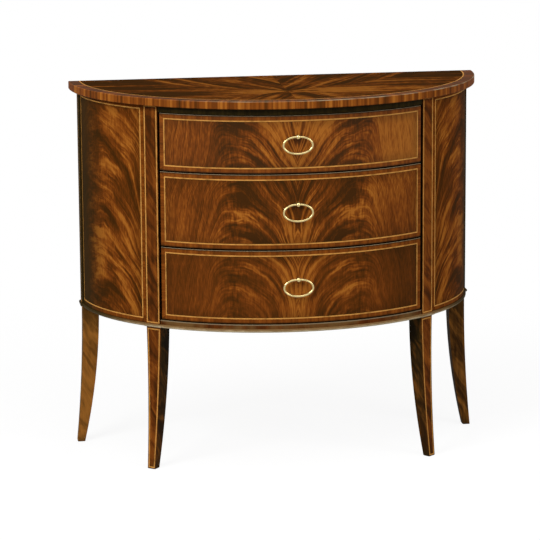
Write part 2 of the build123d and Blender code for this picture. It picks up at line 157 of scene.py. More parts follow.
def polish(tree, colour, grain, film, roughness=0.28):
    """Wood under a thin rubbed polish: deep colour, a soft gloss, and open grain just felt in it."""
    bump = add_node(tree, "Bump", {"Height": grain, "Strength": 0.1, "Distance": 0.1 * MM})
    inputs = {
        "Base Color": colour,
        "Roughness": 0.6,
        "Specular IOR Level": 0.0,
        "Coat Weight": film,
        "Coat Roughness": roughness,
        "Coat IOR": 1.5,
        "Normal": bump,
    }
    shader = add_node(tree, "BsdfPrincipled", inputs)
    add_node(tree, "OutputMaterial", {"Surface": shader})


def dress(material, *nodes):
    """Give CAD nodes a material."""
    for name in nodes:
        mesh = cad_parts[name].data
        mesh.materials.clear()
        mesh.materials.append(material)


def clouds_over(tree, sizes_mm, detail):
    """Soft clouds all through a piece, of these sizes in millimetres along its three axes."""
    place = add_node(tree, "TexCoord").outputs["Object"]
    spots = {"Place": place, "Scales": per(*sizes_mm), "Detail": detail}
    return add_node(tree, "Group", spots, node_tree=pattern("Clouds"))


def colour_setting(name, description, shade):
    """A colour that a user can change."""
    return FloatVectorProperty(name=name, description=description, subtype="COLOR", default=linear(shade))


def number_setting(name, description, value, **settings):
    """A size, an angle or a strength that a user can change."""
    return FloatProperty(name=name, description=description, default=value, **settings)


# Sizes and colours
class VeneerSettings(bpy.types.PropertyGroup):
    """Book-matched crotch veneer."""

    deep: colour_setting("Deep", "Darkest heart of the figure", "#3c2106")
    shade: colour_setting("Shade", "Shaded side of a streak", "#512a08")
    body: colour_setting("Body", "Body of the wood", "#64320c")
    bright: colour_setting("Bright", "Lit side of a streak", "#7d4212")
    light: colour_setting("Light", "Brightest streaks", "#9b5d1f")
    # Old polish, and painted shade as well: the dark rims by the gaps and the darkening of the whole top
    aged_and_shade: colour_setting("Aged", "Old polish gathered along edges", "#201503")
    front_axis: number_setting("Front plume", "Crest of the arches from the middle", 0.118, unit="LENGTH")
    side_axis: number_setting("Side plume", "Crest of the arches round the bow", 0.54, unit="LENGTH")
    fan_centre: number_setting("Fan centre", "Point of the top's fan, from the back", 0.27, unit="LENGTH")


class SolidSettings(bpy.types.PropertyGroup):
    """Solid mahogany, light lines and the woods inside."""

    deep: colour_setting("Deep", "Dark grain of the posts", "#3c1e05")
    body: colour_setting("Body", "Body of the posts", "#5c2d0a")
    bright: colour_setting("Bright", "Lit grain of the posts", "#7e4414")
    golden: colour_setting("Golden", "The lightest leg", "#935e25")
    # Painted shade: faces turned in to the gaps, the sides of the front posts and the rails' hidden faces
    # take this colour
    gap: colour_setting("Gap", "Dark polish left in the gaps and inner edges", "#100c03")
    # Partly real stain, partly painted shade: on the legs' inner sides, the rear legs' flanks and tops, the
    # darkened arrises and feet, the rail under the top and the rear of the side panels
    stained: colour_setting("Stained", "Olive stain of the rail, rear posts and inner sides", "#2a2009")
    # Painted highlight on upper arrises, also used for the pale painted reflection on the bead
    painted_highlight: colour_setting("Rubbed", "Arris where the polish is rubbed pale", "#86785f")
    worn: colour_setting("Worn", "Wood of the bead where its polish is thin", "#6a4e2a")
    line: colour_setting("Line", "Light line let into the veneer", "#bb8440")
    lining: colour_setting("Lining", "Wood of the drawer boxes", "#c39a68")
    carcass: colour_setting("Carcass", "Wood inside the case", "#9c7747")
    back: colour_setting("Back", "Stained board at the back", "#6d4524")


class MetalSettings(bpy.types.PropertyGroup):
    """Brass pulls and steel screws."""

    brass: colour_setting("Brass", "Polished pale brass", "#c6b27c")
    brass_roughness: number_setting(
        "Brass roughness", "Softness of the polish", 0.2, subtype="FACTOR", min=0, max=1
    )
    steel: colour_setting("Steel", "Screw steel", "#8d8a84")


class StageSettings(bpy.types.PropertyGroup):
    """Camera, floor and lights."""

    lens: number_setting("Lens", "Focal length, in millimetres", 194.37)
    yaw: number_setting("Yaw", "Turn of the camera to the right", 0.14549, **ANGLE)
    pitch: number_setting("Pitch", "Tilt of the camera downwards", 0.2082, **ANGLE)
    roll: number_setting("Roll", "Turn about the line of sight", -0.0068, **ANGLE)
    floor_size: number_setting("Floor", "Side of the floor", 60.0, unit="LENGTH")
    floor_shadow: number_setting("Floor shadow", "Share of the floor's white that shadows can take", 0.12)
    floor_bounce: number_setting("Floor bounce", "Light that the floor gives back", 0.3)
    room: number_setting("Room", "Strength of the room's own light", 0.3)
    key: number_setting("Key", "Power of the light from the left, in watts", 170.0)
    fill: number_setting("Fill", "Power of the light from the right, in watts", 80.0)
    overhead: number_setting("Overhead", "Power of the light above, in watts", 45.0)
    behind: number_setting("Behind", "Power of the light at the back, in watts", 60.0)


# Shared patterns
def clouds_pattern(name):
    """Noise about zero, its scale given along each axis: a number, and a shift in three directions."""
    sockets = {"Place": "Vector", "Scales": "Vector", "Detail": "Float"}
    tree, given, out = new_group(name, sockets, {"Value": "Float", "Shift": "Vector"})
    node = partial(add_node, tree)
    scaled = node("VectorMath", (given["Place"], given["Scales"]), operation="MULTIPLY")
    noise = node("TexNoise", {"Vector": scaled, "Scale": 1.0, "Detail": given["Detail"], "Roughness": 0.6})
    value = node("Math", (noise.outputs["Fac"], 0.5), operation="SUBTRACT")
    shift = node("VectorMath", (noise.outputs["Color"], EVEN), operation="SUBTRACT")
    send(tree, out, Value=value, Shift=shift)
    return tree


def bow_pattern(name):
    """A point on a bow: its way round from the middle, how squarely it faces out, and its kind of edge."""
    results = dict.fromkeys(("Across", "X", "Y", "Z", "Facing", "Tilt", "Hidden", "Rubbed"), "Float")
    tree, given, out = new_group(name, {"Half width": "Float", "Depth": "Float"}, results)
    node = partial(add_node, tree)
    place = node("TexCoord")
    split = node("SeparateXYZ", (place.outputs["Object"],)).outputs
    forward = node("Math", (BACK_PLANE, split["Y"]), operation="SUBTRACT")
    share_x = node("Math", (split["X"], given["Half width"]), operation="DIVIDE")
    share_y = node("Math", (forward, given["Depth"]), operation="DIVIDE")
    turn = node("Math", (share_x, share_y), operation="ARCTAN2")
    across = node("Math", (turn, BOW_RADIUS), operation="MULTIPLY")
    slope_x = node("Math", (share_x, given["Half width"]), operation="DIVIDE")
    slope_y = node("Math", (share_y, given["Depth"]), operation="DIVIDE")
    back_y = node("Math", (slope_y, -1.0), operation="MULTIPLY")
    outward = node("VectorMath", (node("CombineXYZ", (slope_x, back_y)),), operation="NORMALIZE")
    facing = node("VectorMath", (outward, place.outputs["Normal"]), operation="DOT_PRODUCT").outputs["Value"]
    tilt = node("SeparateXYZ", (place.outputs["Normal"],)).outputs["Z"]
    # Edges turned in to a gap get painted shade, and an upper arris a painted highlight
    squarely = node("Math", (facing,), operation="ABSOLUTE")
    hidden = node("MapRange", (squarely, 0.35, 0.6, 1.0, 0.0), **SOFT)
    risen = node("MapRange", (tilt, 0.15, 0.4, 0.0, 1.0), **SOFT)
    level = node("MapRange", (tilt, 0.93, 0.99, 1.0, 0.0), **SOFT)
    outer = node("MapRange", (facing, 0.05, 0.2, 0.0, 1.0), **SOFT)
    sloped = node("Math", (risen, level), operation="MULTIPLY")
    painted_highlight = node("Math", (sloped, outer), operation="MULTIPLY")
    send(tree, out, Across=across, X=split["X"], Y=split["Y"], Z=split["Z"])
    send(tree, out, Facing=facing, Tilt=tilt, Hidden=hidden, Rubbed=painted_highlight)
    return tree


def figure_pattern(name):
    """Crotch figure: feathery arches that rise from the middle seam and fall steeply outside their crest."""
    numbers = ("Across", "Along", "Seed", "Rise", "Bow", "Crest", "Fall", "Curl", "Mottle")
    sockets = {**dict.fromkeys(numbers, "Float"), "Fleck": "Vector"}
    tree, given, out = new_group(name, sockets, {"Tone": "Float", "Fibre": "Float"})
    node = partial(add_node, tree)
    clouds = pattern("Clouds")
    folded = node("Math", (given["Across"],), operation="ABSOLUTE")
    place = node("CombineXYZ", (folded, given["Along"], given["Seed"]))
    whole = node("CombineXYZ", (given["Across"], given["Along"], given["Seed"]))
    # A slow drift bends the fronds, and a quicker one makes them curl, most of all near the crest
    slow = {"Place": place, "Scales": (*per(150, 150), 1.0), "Detail": 1.0}
    slow = node("Group", slow, node_tree=clouds).outputs["Shift"]
    quick = {"Place": place, "Scales": (*per(32, 32), 1.0), "Detail": 2.0}
    quick = node("Group", quick, node_tree=clouds).outputs["Shift"]
    off_crest = node("Math", (folded, given["Crest"]), operation="SUBTRACT")
    apart = node("Math", (off_crest,), operation="ABSOLUTE")
    close = node("MapRange", (apart, 0.0, 0.06, 1.0, 0.3), **SOFT)
    curl = node("Math", (close, given["Curl"]), operation="MULTIPLY")
    curled = node("VectorMath", {0: quick, "Scale": curl}, operation="SCALE")
    bent = node("VectorMath", (slow, (0.05, 0.08, 0.0), place), operation="MULTIPLY_ADD")
    bent = node("VectorMath", (curled, (0.6, 1.0, 0.0), bent), operation="MULTIPLY_ADD")
    split = node("SeparateXYZ", (bent,)).outputs
    out_from = node("Math", (split["X"],), operation="ABSOLUTE")
    # Fronds leave the seam steeply and lean over until they reach the crest
    held = node("Math", (out_from, given["Crest"], 0.05), operation="SMOOTH_MIN")
    grown = node("Math", (held, SEAM_EASE), operation="ADD")
    grown = node("Math", (grown, math.e), operation="LOGARITHM")
    rise = node("Math", (grown, given["Rise"]), operation="MULTIPLY")
    # Arcs round over to it from nearly upright, as quarter ellipses
    short = node("Math", (given["Crest"], out_from), operation="SUBTRACT")
    share = node("Math", (short, given["Crest"]), operation="DIVIDE", use_clamp=True)
    squared = node("Math", (share, share), operation="MULTIPLY")
    rest = node("Math", (1.02, squared), operation="SUBTRACT")
    root = node("Math", (rest,), operation="SQRT")
    bowed = node("Math", (root, given["Bow"], rise), operation="MULTIPLY_ADD")
    level = node("Math", (split["Y"], bowed), operation="SUBTRACT")
    # Some way beyond the crest both turn down
    beyond = node("Math", (out_from, given["Crest"]), operation="SUBTRACT")
    beyond = node("Math", (beyond, CREST_WIDTH), operation="SUBTRACT")
    turned = node("Math", (beyond, 0.0, 0.045), operation="SMOOTH_MAX")
    level = node("Math", (turned, given["Fall"], level), operation="MULTIPLY_ADD")
    flow = node("CombineXYZ", (split["X"], level, given["Seed"]))
    # Broad plumes, the streaks in them, and fibres drawn up to 5 mm apart, coarser than real ones to show.
    # Pores as short upright dashes, drawn 4 mm apart for the same reason; on the top, whose figure is drawn
    # out, they make soft specks. Then where the figure is strong, and broad patches of tone over all of it.
    # Each has its place, two sizes in millimetres, its own slice of the noise, and its detail.
    layers = (
        (flow, (110, 50), 1.0, 1.0),
        (flow, (70, 17), 3.0, 3.0),
        (flow, (40, 5), 5.0, 2.0),
        (whole, (4, 18), 11.0, 1.0),
        (whole, (75, 75), 7.0, 1.0),
        (whole, (210, 160), 2.0, 1.0),
    )
    plumes, streaks, fibres, pores, patch, patches = (
        node("Group", {"Place": at, "Scales": (*per(*sizes), piece), "Detail": detail}, node_tree=clouds)
        for at, sizes, piece, detail in layers
    )
    # The figure is strong at the middle and comes and goes; outside the crest the wood is nearly plain
    strength = node("MapRange", (patch, -0.16, 0.16, 0.45, 1.5), **SOFT)
    reach = node("MapRange", (off_crest, 0.0, 0.09, 1.0, 0.2), **SOFT)
    streak_share = node("Math", (strength, reach), operation="MULTIPLY")
    drawn = node("Math", (streaks, streak_share), operation="MULTIPLY")
    broad = node("Math", (plumes, reach), operation="MULTIPLY")
    # Short flecks in the wood just outside the crest
    aside = node("Math", (off_crest, 0.03), operation="SUBTRACT")
    aside = node("Math", (aside,), operation="ABSOLUTE")
    near = node("MapRange", (aside, 0.0, 0.045, 1.0, 0.0), **SOFT)
    flecks = {"Place": place, "Scales": given["Fleck"], "Detail": 2.0}
    flecks = node("Group", flecks, node_tree=clouds)
    mottle = node("Math", (flecks, 0.9, given["Mottle"]), operation="MULTIPLY_ADD")
    # Close to the seam the wood glows, and its fibres stand out as bright threads
    glow = node("MapRange", (folded, 0.0, 0.09, 0.57, 0.5), **SOFT)
    thread_share = node("MapRange", (folded, 0.0, 0.08, 1.0, 0.6), **SOFT)
    tone = node("Math", (broad, 1.5, glow), operation="MULTIPLY_ADD")
    tone = node("Math", (drawn, 1.45, tone), operation="MULTIPLY_ADD")
    tone = node("Math", (fibres, thread_share, tone), operation="MULTIPLY_ADD")
    tone = node("Math", (patches, 0.6, tone), operation="MULTIPLY_ADD")
    tone = node("Math", (pores, 0.5, tone), operation="MULTIPLY_ADD")
    tone = node("Math", (near, mottle, tone), operation="MULTIPLY_ADD")
    send(tree, out, Tone=tone, Fibre=fibres)
    return tree


def banding_pattern(name):
    """Cross-banding: stripes square to the edge, broad ones of many widths with finer ones in them."""
    tree, given, out = new_group(name, {"Run": "Float", "Seed": "Float"}, {"Tone": "Float"})
    node = partial(add_node, tree)
    moved = node("CombineXYZ", (given["Run"], given["Seed"]))
    tone = 0.52
    # Widths in millimetres, and how strongly each shows
    for width, share in ((70, 0.6), (19, 1.2), (6, 0.9)):
        stripes = {"Place": moved, "Scales": (*per(width), 1.0, 1.0), "Detail": 1.0}
        stripes = node("Group", stripes, node_tree=pattern("Clouds"))
        tone = node("Math", (stripes, share, tone), operation="MULTIPLY_ADD")
    send(tree, out, Tone=tone)
    return tree


def margin_pattern(name):
    """A point against a frame of line: how far inside it, whether in the margin, and its way along."""
    sockets = dict.fromkeys(("Side", "Across", "Z", "Low", "High"), "Float")
    tree, given, out = new_group(name, sockets, dict.fromkeys(("Inside", "Margin", "Run"), "Float"))
    node = partial(add_node, tree)
    under = node("Math", (given["Z"], given["Low"]), operation="SUBTRACT")
    over = node("Math", (given["High"], given["Z"]), operation="SUBTRACT")
    level = node("Math", (under, over), operation="MINIMUM")
    inside = node("Math", (given["Side"], level), operation="MINIMUM")
    margin = node("Math", (inside, -LINE_WIDTH / 2), operation="LESS_THAN")
    upright = node("Math", (given["Side"], level), operation="LESS_THAN")
    run = {SHARE: upright, NUMBER_A: given["Across"], NUMBER_B: given["Z"]}
    run = node("Mix", run, data_type="FLOAT")
    send(tree, out, Inside=inside, Margin=margin, Run=run)
    return tree


PATTERNS = {
    "Clouds": clouds_pattern,
    "Bow": bow_pattern,
    "Crotch figure": figure_pattern,
    "Cross-banding": banding_pattern,
    "Margin": margin_pattern,
}


def veneer_stops(veneer):
    """The colours of the veneer, dark to light, at the tones where they stand."""
    colours = (veneer.deep, veneer.shade, veneer.body, veneer.bright, veneer.light)
    return tuple(zip(VENEER_TONES, colours))


def framed_veneer(tree, bow, side, line, figure, veneer):
    """Figure inside a frame of light line and cross-banding outside it, darkened along both; the dark rim by
    the gap is painted shade.
    """
    node = partial(add_node, tree)
    low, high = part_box(line)
    limits = {"Low": low.z + LINE_WIDTH, "High": high.z - LINE_WIDTH}
    places = {"Side": side, "Across": bow["Across"], "Z": bow["Z"]}
    margin = node("Group", {**places, **limits}, node_tree=pattern("Margin")).outputs
    bands = node("Group", {"Run": margin["Run"], "Seed": 1.0}, node_tree=pattern("Cross-banding"))
    softer = node("Math", (bands, 0.55, 0.26), operation="MULTIPLY_ADD")
    tone = {SHARE: margin["Margin"], NUMBER_A: figure, NUMBER_B: softer}
    tone = node("Mix", tone, data_type="FLOAT")
    wood = node("ValToRGB", (tone,), stops=veneer_stops(veneer))
    # A dark line close inside the light one, a darkened border to the field, and a dark rim of painted shade
    # by the gap
    close = node("MapRange", (margin["Inside"], 0.6 * MM, 1.8 * MM, 0.6, 0.0), **SOFT)
    border = node("MapRange", (margin["Inside"], 0.0, BORDER_WIDTH, 0.3, 0.0), **SOFT)
    field = node("Math", (close, border), operation="MAXIMUM")
    within = node("Math", (margin["Inside"], 0.0), operation="GREATER_THAN")
    field = node("Math", (field, within), operation="MULTIPLY")
    edge = -(FRONT_MARGIN + LINE_WIDTH)
    rim = node("MapRange", (margin["Inside"], edge, edge + RIM_WIDTH, 0.9, 0.0), **SOFT)
    dark = node("Math", (field, rim), operation="MAXIMUM")
    return node("Mix", {SHARE: dark, FROM: wood, TO: veneer.aged_and_shade}, data_type="RGBA")


def edged(tree, wood, bow, solid):
    """Wood with painted shade on edges that turn in to a gap, and a painted highlight on its upper arris."""
    dark = {SHARE: bow["Hidden"], FROM: wood, TO: solid.gap}
    dark = add_node(tree, "Mix", dark, data_type="RGBA")
    painted_highlight = {SHARE: bow["Rubbed"], FROM: dark, TO: solid.painted_highlight}
    return add_node(tree, "Mix", painted_highlight, data_type="RGBA")


# Pieces
class CHEST_OT_drawer_fronts(bpy.types.Operator):
    """Veneer the three drawer fronts in one continuous sheet"""

    bl_idname = "chest.drawer_fronts"
    bl_label = "Drawer fronts"

    def execute(self, context):
        veneer, solid = context.scene.chest_veneer, context.scene.chest_solid
        for name in DRAWERS:
            # Crotch mahogany, book-matched and rubbed to a soft polish: pale plumes over deep red-brown
            material, tree = new_material(f"Crotch mahogany veneer, {name} front")
            node = partial(add_node, tree)
            bow = node("Group", CASE_PLAN, node_tree=pattern("Bow")).outputs
            flow = {"Crest": veneer.front_axis, "Rise": 0.11, "Fall": 4.3, "Seed": 3.7, "Curl": 0.02}
            flecks = {"Mottle": -0.14, "Fleck": (*per(8, 26), 9.0)}
            places = {"Across": bow["Across"], "Along": bow["Z"]}
            figure = node("Group", {**places, **flow, **flecks}, node_tree=pattern("Crotch figure")).outputs
            # Painted light and shade: the plain wood at the ends is lighter at the top right and darker
            # below
            left, middle, right = FRONT_PAINTED_LIGHT[name]
            strength = FRONT_STRENGTH[name]
            tone = node("Math", (figure["Tone"], strength, (1 - strength) / 2), operation="MULTIPLY_ADD")
            lift = node("MapRange", (bow["Across"], -0.26, -0.1, left, middle), **SOFT)
            tone = node("Math", (tone, lift), operation="ADD")
            lift = node("MapRange", (bow["Across"], 0.1, 0.26, 0.0, right - middle), **SOFT)
            tone = node("Math", (tone, lift), operation="ADD")
            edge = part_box(f"{name}_drawer_stringing")[1].x - LINE_WIDTH * math.cos(POST_TURN)
            folded = node("Math", (bow["X"],), operation="ABSOLUTE")
            side = node("Math", (edge, folded), operation="SUBTRACT")
            wood = framed_veneer(tree, bow, side, f"{name}_drawer_stringing", tone, veneer)
            # Painted shade on the edges in the gaps, and a painted highlight on the upper arris
            wood = edged(tree, wood, bow, solid)
            # Its inner face is of the wood of the drawer box
            inner = node("MapRange", (bow["Facing"], -0.9, -0.6, 1.0, 0.0), **SOFT)
            wood = node("Mix", {SHARE: inner, FROM: wood, TO: solid.lining}, data_type="RGBA")
            polish(tree, wood, figure["Fibre"], FRONT_FILM[name])
            dress(material, f"{name}_drawer_front")
        return {"FINISHED"}


class CHEST_OT_side_panels(bpy.types.Operator):
    """Veneer the two curved side panels as a mirrored pair"""

    bl_idname = "chest.side_panels"
    bl_label = "Side panels"

    def execute(self, context):
        veneer, solid = context.scene.chest_veneer, context.scene.chest_solid
        # Crotch mahogany again: arches that spring from the front posts, darkened to olive towards the wall
        # as painted shade
        material, tree = new_material("Crotch mahogany veneer, sides")
        node = partial(add_node, tree)
        bow = node("Group", CASE_PLAN, node_tree=pattern("Bow")).outputs
        folded = node("Math", (bow["Across"],), operation="ABSOLUTE")
        from_post = node("Math", (folded, PANEL_START), operation="SUBTRACT")
        crest = veneer.side_axis - PANEL_START
        flow = {"Crest": crest, "Bow": 0.2, "Fall": 1.5, "Seed": 9.3, "Curl": 0.03}
        flecks = {"Fleck": (*per(26, 9), 9.0)}
        places = {"Across": from_post, "Along": bow["Z"]}
        figure = node("Group", {**places, **flow, **flecks}, node_tree=pattern("Crotch figure")).outputs
        apart_x = node("Math", (bow["X"],), operation="ABSOLUTE")
        low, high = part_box("right_panel_stringing")
        front = node("Math", (apart_x, low.x + LINE_WIDTH * math.cos(POST_TURN)), operation="SUBTRACT")
        rear = node("Math", (high.y - LINE_WIDTH, bow["Y"]), operation="SUBTRACT")
        side = node("Math", (front, rear), operation="MINIMUM")
        tone = node("Math", (figure["Tone"], 0.85, 0.11), operation="MULTIPLY_ADD")
        wood = framed_veneer(tree, bow, side, "right_panel_stringing", tone, veneer)
        # Painted shade: the panels darken to olive towards the wall
        olive = node("MapRange", (folded, 0.49, 0.62, 0.0, 0.88), **SOFT)
        wood = node("Mix", {SHARE: olive, FROM: wood, TO: solid.stained}, data_type="RGBA")
        # Painted shade on the edges in the gaps, and a painted highlight on the upper arris
        polish(tree, edged(tree, wood, bow, solid), figure["Fibre"], film=0.03)
        dress(material, "left_side_panel", "right_side_panel")
        return {"FINISHED"}


class CHEST_OT_top_board(bpy.types.Operator):
    """Veneer the top in six wedges that meet on its middle line, in front of the back"""

    bl_idname = "chest.top_board"
    bl_label = "Top"

    def execute(self, context):
        veneer = context.scene.chest_veneer
        # The same veneer laid as a fan, darker towards its ends and with hardly any gloss
        material, tree = new_material("Crotch mahogany veneer, top")
        node = partial(add_node, tree)
        split = node("SeparateXYZ", (node("TexCoord").outputs["Object"],)).outputs
        forward = node("Math", (BACK_PLANE - veneer.fan_centre, split["Y"]), operation="SUBTRACT")
        turn = node("Math", (split["X"], forward), operation="ARCTAN2")
        plan = node("CombineXYZ", (split["X"], forward))
        reach = node("VectorMath", (plan,), operation="LENGTH").outputs["Value"]
        # One seam runs straight forward, so the turn is counted from the middle of the wedge beside it
        turn = node("Math", (turn, WEDGE / 2), operation="ADD")
        # The two halves of a wedge mirror each other
        swing = node("Math", (turn, WEDGE / 2), operation="PINGPONG")
        across = node("Math", (reach, node("Math", (swing,), operation="SINE")), operation="MULTIPLY")
        along = node("Math", (reach, node("Math", (swing,), operation="COSINE")), operation="MULTIPLY")
        # The wedges are cut from different leaves, so each has a figure of its own
        leaf = node("Math", (turn, WEDGE), operation="DIVIDE")
        leaf = node("Math", (leaf,), operation="ROUND")
        seed = node("Math", (leaf, 1.7, 5.1), operation="MULTIPLY_ADD")
        # Long streaks run outwards in each wedge, a little bowed
        drawn_out = node("Math", (along, 0.25), operation="MULTIPLY")
        flow = {"Across": drawn_out, "Along": across, "Crest": 0.6, "Bow": 0.05, "Curl": 0.012, "Seed": seed}
        figure = node("Group", flow, node_tree=pattern("Crotch figure")).outputs
        tone = node("Math", (figure["Tone"], 1.3, -0.22), operation="MULTIPLY_ADD")
        lift = node("MapRange", (split["X"], -0.4, -0.08, -0.28, 0.0), **SOFT)
        tone = node("Math", (tone, lift), operation="ADD")
        lift = node("MapRange", (split["X"], 0.12, 0.42, 0.0, -0.24), **SOFT)
        tone = node("Math", (tone, lift), operation="ADD")
        # Old polish lies thickest here and deepens it all, in part as painted shade on the level top
        wood = node("ValToRGB", (tone,), stops=veneer_stops(veneer))
        wood = node("Mix", {SHARE: 0.35, FROM: wood, TO: veneer.aged_and_shade}, data_type="RGBA")
        polish(tree, wood, figure["Fibre"], film=0.01)
        dress(material, "top_board")
        return {"FINISHED"}


class CHEST_OT_top_border(bpy.types.Operator):
    """Cross-band the top's border and edge"""

    bl_idname = "chest.top_border"
    bl_label = "Top border"

    def execute(self, context):
        veneer, solid = context.scene.chest_veneer, context.scene.chest_solid
        # Mahogany laid across the edge: short upright stripes of lighter and darker brown
        material, tree = new_material("Cross-grained mahogany banding, polished")
        node = partial(add_node, tree)
        bow = node("Group", TOP_PLAN, node_tree=pattern("Bow")).outputs
        run = {"Run": bow["Across"], "Seed": 4.0}
        bands = node("Group", run, node_tree=pattern("Cross-banding"))
        # Painted light and shade: the upright edge is lighter and the level face darker
        flat = node("MapRange", (bow["Tilt"], 0.9, 0.99, 0.08, -0.16), **SOFT)
        tone = node("Math", (bands, flat), operation="ADD")
        wood = node("ValToRGB", (tone,), stops=veneer_stops(veneer))
        # The arris has a painted highlight, broken in places, mostly at the middle and to the right of it
        worn = node("MapRange", (clouds_over(tree, (45, 45, 45), 2.0), -0.12, 0.12, 0.25, 1.0), **SOFT)
        where = node("MapRange", (bow["Across"], -0.3, 0.0, 0.1, 1.0), **SOFT)
        share = node("Math", (worn, where), operation="MULTIPLY")
        painted_highlight = node("Math", (bow["Rubbed"], share), operation="MULTIPLY")
        wood = node("Mix", {SHARE: painted_highlight, FROM: wood, TO: solid.painted_highlight}, data_type="RGBA")
        polish(tree, wood, bands, film=0.08)
        dress(material, "top_border")
        return {"FINISHED"}


class CHEST_OT_posts_and_legs(bpy.types.Operator):
    """Finish the posts and legs as solid mahogany"""

    bl_idname = "chest.posts_and_legs"
    bl_label = "Posts and legs"

    def execute(self, context):
        solid = context.scene.chest_solid
        # Each pair's turn from the front, and how much lighter its right-hand post is, as painted light
        for name, turn, lighter in (("front", POST_TURN, 0.22), ("rear", math.pi / 2, 0.0)):
            # Straight-grained mahogany planed and polished: red-brown, with soft slanting patches of tone
            material, tree = new_material(f"Solid mahogany, {name} posts")
            node = partial(add_node, tree)
            place = node("TexCoord").outputs
            split = node("SeparateXYZ", (place["Object"],)).outputs
            normal = node("SeparateXYZ", (place["Normal"],)).outputs
            side = node("Math", (split["X"],), operation="SIGN")
            turned = node("Math", (side, normal["X"]), operation="MULTIPLY")
            forward = node("Math", (normal["Y"], -math.cos(turn)), operation="MULTIPLY")
            squarely = node("Math", (turned, math.sin(turn), forward), operation="MULTIPLY_ADD")
            # The long arrises and the foot are darkened, partly as old polish and partly as painted shade
            forward = node("Math", (normal["Y"], math.sin(turn)), operation="MULTIPLY")
            sideways = node("Math", (turned, math.cos(turn), forward), operation="MULTIPLY_ADD")
            facing = node("VectorMath", (node("CombineXYZ", (squarely, sideways)),), operation="NORMALIZE")
            facing = node("VectorMath", (facing,), operation="ABSOLUTE")
            facing = node("SeparateXYZ", (facing,)).outputs
            flatness = node("Math", (facing["X"], facing["Y"]), operation="MAXIMUM")
            arris = node("MapRange", (flatness, 0.8, 0.98, 0.9, 0.0), **SOFT)
            foot = node("MapRange", (split["Z"], 0.0, 25 * MM, 0.6, 0.0), **SOFT)
            aged_and_shade = node("Math", (arris, foot), operation="MAXIMUM")
            grain = {"Place": place["Object"], "Scales": per(8, 8, 90), "Detail": 3.0}
            grain = node("Group", grain, node_tree=pattern("Clouds"))
            lean = node("Math", (split["X"], 1.6, split["Z"]), operation="MULTIPLY_ADD")
            slanted = node("CombineXYZ", (split["X"], split["Y"], lean))
            swirl = {"Place": slanted, "Scales": per(60, 60, 60), "Detail": 1.0}
            swirl = node("Group", swirl, node_tree=pattern("Clouds")).outputs["Shift"]
            curled = node("VectorMath", (swirl, (0.09, 0.09, 0.09), slanted), operation="MULTIPLY_ADD")
            patches = {"Place": curled, "Scales": per(55, 55, 30), "Detail": 3.0}
            patches = node("Group", patches, node_tree=pattern("Clouds"))
            tone = node("Math", (grain, 0.8, 0.46), operation="MULTIPLY_ADD")
            tone = node("Math", (patches, 2.1, tone), operation="MULTIPLY_ADD")
            right = node("Math", (split["X"], 0.0), operation="GREATER_THAN")
            above = node("MapRange", (split["Z"], LEG_HEIGHT - 2 * MM, LEG_HEIGHT, 0.0, 1.0))
            # Painted light: the right-hand post is made lighter
            right_post = node("Math", (right, above), operation="MULTIPLY")
            lifted = node("Math", (right_post, lighter, tone), operation="MULTIPLY_ADD")
            stops = tuple(zip(POST_TONES, (solid.deep, solid.body, solid.bright)))
            wood = node("ValToRGB", (lifted,), stops=stops)
            if name == "front":
                # The sides of the posts stand in the gaps and are painted in shade; the inner sides of the
                # legs are painted in the shade under the case, less so to the foot
                shaded = node("MapRange", (split["Z"], 0.0, LEG_HEIGHT, 0.65, 1.0))
                share = node("Mix", {SHARE: above, NUMBER_A: shaded, NUMBER_B: 1.0}, data_type="FLOAT")
                turned_in = node("MapRange", (squarely, 0.5, 0.8, 1.0, 0.0), **SOFT)
                hidden = node("Math", (turned_in, share), operation="MULTIPLY")
                curls = (*shades(solid.stained, 0.55, 1.2), *shades(solid.golden, 0.42))
                curls = node("ValToRGB", (tone,), stops=tuple(zip((0.35, 0.6, 0.9), curls)))
                dark = node("Mix", {SHARE: above, FROM: curls, TO: solid.gap}, data_type="RGBA")
                wood = node("Mix", {SHARE: hidden, FROM: wood, TO: dark}, data_type="RGBA")
            else:
                # The left rear leg is of golden wood and the right one of dark; both posts are dark olive
                golden = tuple(zip(POST_TONES, shades(solid.golden, 0.5, 0.9, 1.2)))
                golden = node("ValToRGB", (tone,), stops=golden)
                dark = tuple(zip(POST_TONES, shades(solid.golden, 0.13, 0.36, 0.85)))
                dark = node("ValToRGB", (tone,), stops=dark)
                legs = node("Mix", {SHARE: right, FROM: golden, TO: dark}, data_type="RGBA")
                # Painted shade: the flanks of the rear legs, and their tops just under the case, turn dark
                # olive
                flank = node("Math", (squarely,), operation="ABSOLUTE")
                flank = node("MapRange", (flank, 0.5, 0.8, 0.0, 0.7), **SOFT)
                under = node("MapRange", (split["Z"], LEG_HEIGHT - 80 * MM, LEG_HEIGHT, 0.0, 0.6), **SOFT)
                share = node("Math", (flank, under), operation="MAXIMUM")
                share = node("Math", (above, share), operation="MAXIMUM")
                wood = {SHARE: share, FROM: legs, TO: solid.stained}
                wood = node("Mix", wood, data_type="RGBA")
            wood = node("Mix", {SHARE: aged_and_shade, FROM: wood, TO: solid.stained}, data_type="RGBA")
            polish(tree, wood, grain, film=0.06)
            dress(material, f"{name}_left_leg", f"{name}_right_leg")
        return {"FINISHED"}


